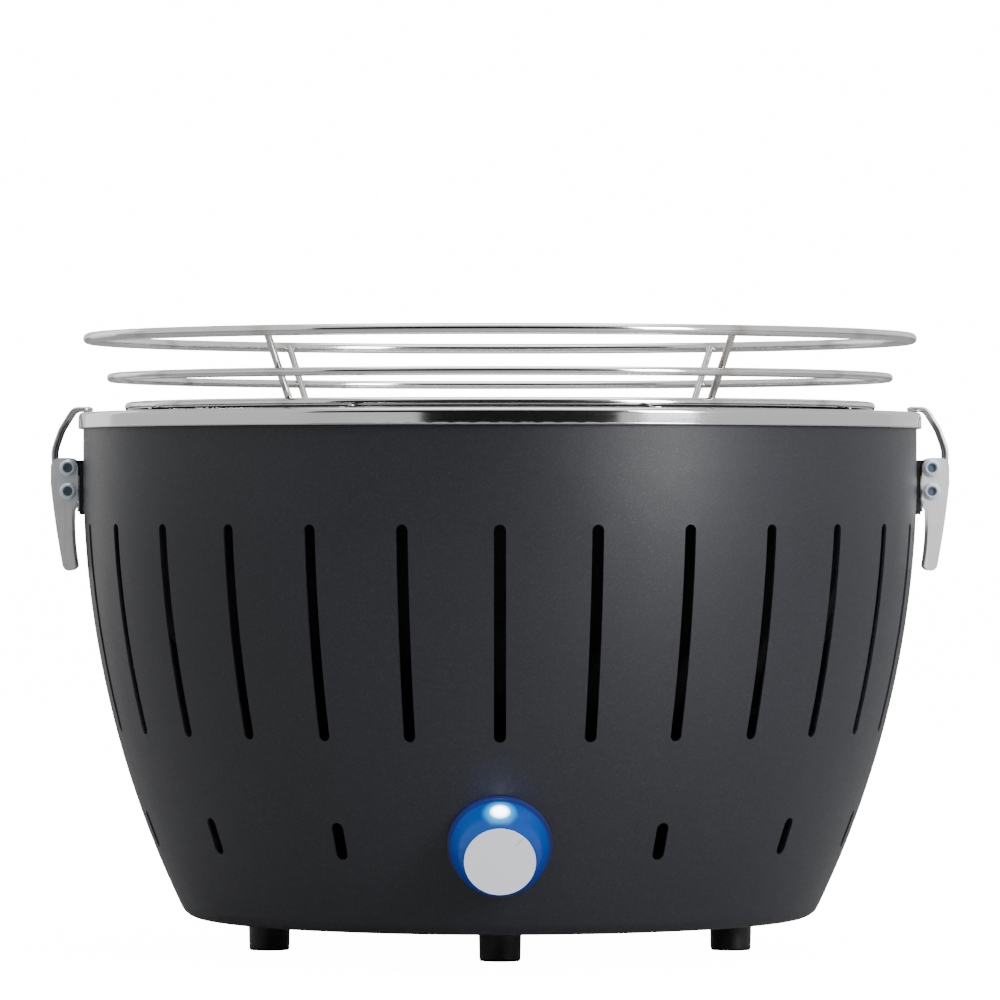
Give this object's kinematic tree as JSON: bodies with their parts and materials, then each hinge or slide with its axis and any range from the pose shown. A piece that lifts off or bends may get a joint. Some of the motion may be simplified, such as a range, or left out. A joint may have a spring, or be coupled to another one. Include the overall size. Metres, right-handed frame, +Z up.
{
  "type": "portable tabletop charcoal grill",
  "caption": "Round tabletop charcoal grill: slotted shell, latched inner bowl, round wire grate with guard rings, fan under the basket, and a lit knob in front.",
  "frame": {"origin": "centre of the grill on the surface that its feet stand on", "axes": "+Z up, -Y towards the knob at the front, +X to the right-hand latch seen from the front"},
  "size_m": [0.3766, 0.354, 0.2589],
  "materials": {
    "shell_paint": "fine sparkle powder coat, satin",
    "rim_steel": "stainless, fine circular brush",
    "wire_chrome": "polished stainless wire",
    "plate_steel": "stainless sheet, brushed",
    "basket_steel": "perforated stainless sheet",
    "housing_plastic": "fine matt moulding",
    "zinc_screw": "bright zinc, faintly blue",
    "cell_jacket": "printed film, left plain",
    "contact_metal": "nickel-plated spring steel",
    "motor_can": "drawn steel can",
    "fan_plastic": "glass-filled nylon, matt",
    "duct_steel": "folded aluminised sheet",
    "gasket": "heat-proof silicone",
    "bezel_plastic": "satin black moulding",
    "knob_blue": "translucent deep blue moulding",
    "knob_face": "fine brushed disc",
    "dimmer_metal": "plated",
    "light_white": "clear white lens",
    "board_green": "coated laminate",
    "cable_black": "soft insulation",
    "foot_rubber": "satin black rubber",
    "lever_steel": "pressed stainless, brushed lengthways",
    "bail_steel": "drawn spring wire",
    "bracket_black": "black coating"
  },
  "bodies": {
    "grill_base": {"outer_shell": "shell_paint", "inner_bowl": "rim_steel", "bowl_floor": "rim_steel", "air_collar": "rim_steel", "base_housing": "housing_plastic", "housing_screws": "zinc_screw", "battery_cap": "housing_plastic", "battery_cell_1": "cell_jacket", "battery_cell_2": "cell_jacket", "battery_cell_3": "cell_jacket", "battery_cell_4": "cell_jacket", "battery_contacts_front": "contact_metal", "battery_contacts_back": "contact_metal", "fan_frame": "housing_plastic", "fan_motor": "motor_can", "fan_cover": "duct_steel", "air_gasket": "gasket", "knob_bezel": "bezel_plastic", "dimmer_body": "dimmer_metal", "dimmer_nut": "dimmer_metal", "status_light": "light_white", "circuit_board": "board_green", "board_posts": "housing_plastic", "dimmer_lead": "cable_black", "battery_lead": "cable_black", "foot_left": "foot_rubber", "foot_right": "foot_rubber", "foot_front": "foot_rubber", "foot_back": "foot_rubber", "foot_screws": "zinc_screw", "foot_nuts": "zinc_screw", "latch_bracket_left": "bracket_black", "bracket_rivets_left": "zinc_screw", "lever_pivot_left": "zinc_screw", "latch_bracket_right": "bracket_black", "bracket_rivets_right": "zinc_screw", "lever_pivot_right": "zinc_screw"},
    "grate": {"grate_rings": "wire_chrome", "grate_spokes": "wire_chrome", "drip_plate": "plate_steel", "plate_rivets": "plate_steel", "guard_ring_top": "wire_chrome", "guard_ring_middle": "wire_chrome", "guard_struts": "wire_chrome"},
    "basket": {"charcoal_basket": "basket_steel"},
    "lid": {"basket_lid": "basket_steel"},
    "basket_handle": {"lid_handle": "wire_chrome"},
    "fuel_dish": {"dish_floor": "basket_steel", "dish_walls": "basket_steel"},
    "fan": {"fan_shaft": "zinc_screw", "fan_rotor": "fan_plastic"},
    "knob": {"knob_skirt": "knob_blue", "knob_cap": "knob_face", "dimmer_shaft": "dimmer_metal"},
    "lever_left": {"latch_lever_left": "lever_steel", "bail_pivot_left": "zinc_screw"},
    "bail_left": {"latch_bail_left": "bail_steel"},
    "lever_right": {"latch_lever_right": "lever_steel", "bail_pivot_right": "zinc_screw"},
    "bail_right": {"latch_bail_right": "bail_steel"}
  },
  "joints": [
    {"name": "knob_turn", "type": "hinge", "parent": "grill_base", "child": "knob", "pos_m": [0, -0.14774, 0.0517], "axis": [0, 0.9346, 0.3556], "range_deg": [0, 270]},
    {"name": "fan_spin", "type": "hinge", "parent": "grill_base", "child": "fan", "pos_m": [0, 0, 0.048], "axis": [0, 0, 1], "continuous": true},
    {"name": "grate_lift", "type": "slide", "parent": "grill_base", "child": "grate", "axis": [0, 0, 1], "range_m": [0, 0.3]},
    {"name": "basket_lift", "type": "slide", "parent": "grill_base", "child": "basket", "axis": [0, 0, 1], "range_m": [0, 0.205]},
    {"name": "dish_lift", "type": "slide", "parent": "grill_base", "child": "fuel_dish", "axis": [0, 0, 1], "range_m": [0, 0.145]},
    {"name": "lid_lift", "type": "slide", "parent": "basket", "child": "lid", "axis": [0, 0, 1], "range_m": [0, 0.08]},
    {"name": "basket_handle_swing", "type": "hinge", "parent": "lid", "child": "basket_handle", "pos_m": [0, 0, 0.1794], "axis": [-1, 0, 0], "range_deg": [0, 180]},
    {"name": "lever_left_hinge", "type": "hinge", "parent": "grill_base", "child": "lever_left", "pos_m": [-0.181, 0, 0.2026], "axis": [0, 1, 0], "range_deg": [0, 105]},
    {"name": "bail_left_hinge", "type": "hinge", "parent": "lever_left", "child": "bail_left", "pos_m": [-0.181, 0, 0.1928], "axis": [0, 1, 0], "range_deg": [-106, 0]},
    {"name": "lever_right_hinge", "type": "hinge", "parent": "grill_base", "child": "lever_right", "pos_m": [0.181, 0, 0.2026], "axis": [0, -1, 0], "range_deg": [0, 105]},
    {"name": "bail_right_hinge", "type": "hinge", "parent": "lever_right", "child": "bail_right", "pos_m": [0.181, 0, 0.1928], "axis": [0, -1, 0], "range_deg": [-106, 0]}
  ],
  "couplings": [
    {"joint": "basket_lift", "follows": "grate_lift", "ratio": 0.6667},
    {"joint": "lid_lift", "follows": "grate_lift", "ratio": 0.25},
    {"joint": "dish_lift", "follows": "grate_lift", "ratio": 0.467},
    {"joint": "bail_left_hinge", "follows": "lever_left_hinge", "ratio": -1},
    {"joint": "bail_right_hinge", "follows": "lever_right_hinge", "ratio": -1}
  ]
}
